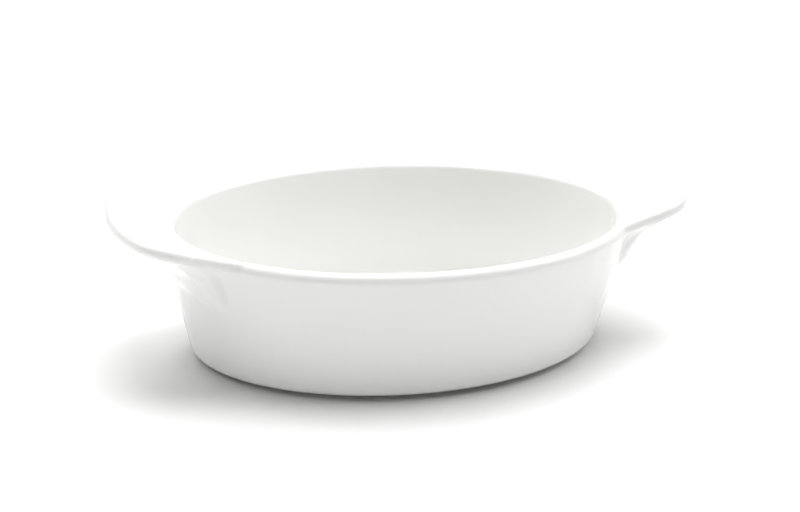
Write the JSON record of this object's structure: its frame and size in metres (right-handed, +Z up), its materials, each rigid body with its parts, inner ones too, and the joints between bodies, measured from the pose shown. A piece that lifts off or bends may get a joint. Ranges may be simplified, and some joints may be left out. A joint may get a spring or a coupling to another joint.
{
  "type": "gratin dish",
  "caption": "Oval glazed porcelain baking dish with a leaning wall, a rounded lip and a sloping tab handle at each end.",
  "frame": {"origin": "on the surface that the dish stands on, under the middle of its outline", "axes": "+X along the dish from handle to handle, +Y across it, +Z up"},
  "size_m": [0.26, 0.1642, 0.0678],
  "materials": {
    "glazed_porcelain": "glossy white glaze",
    "bare_porcelain": "unglazed, matt"
  },
  "bodies": {
    "root": {"dish_body": "glazed_porcelain", "foot_ring": "bare_porcelain", "left_handle": "glazed_porcelain", "right_handle": "glazed_porcelain"}
  },
  "joints": []
}
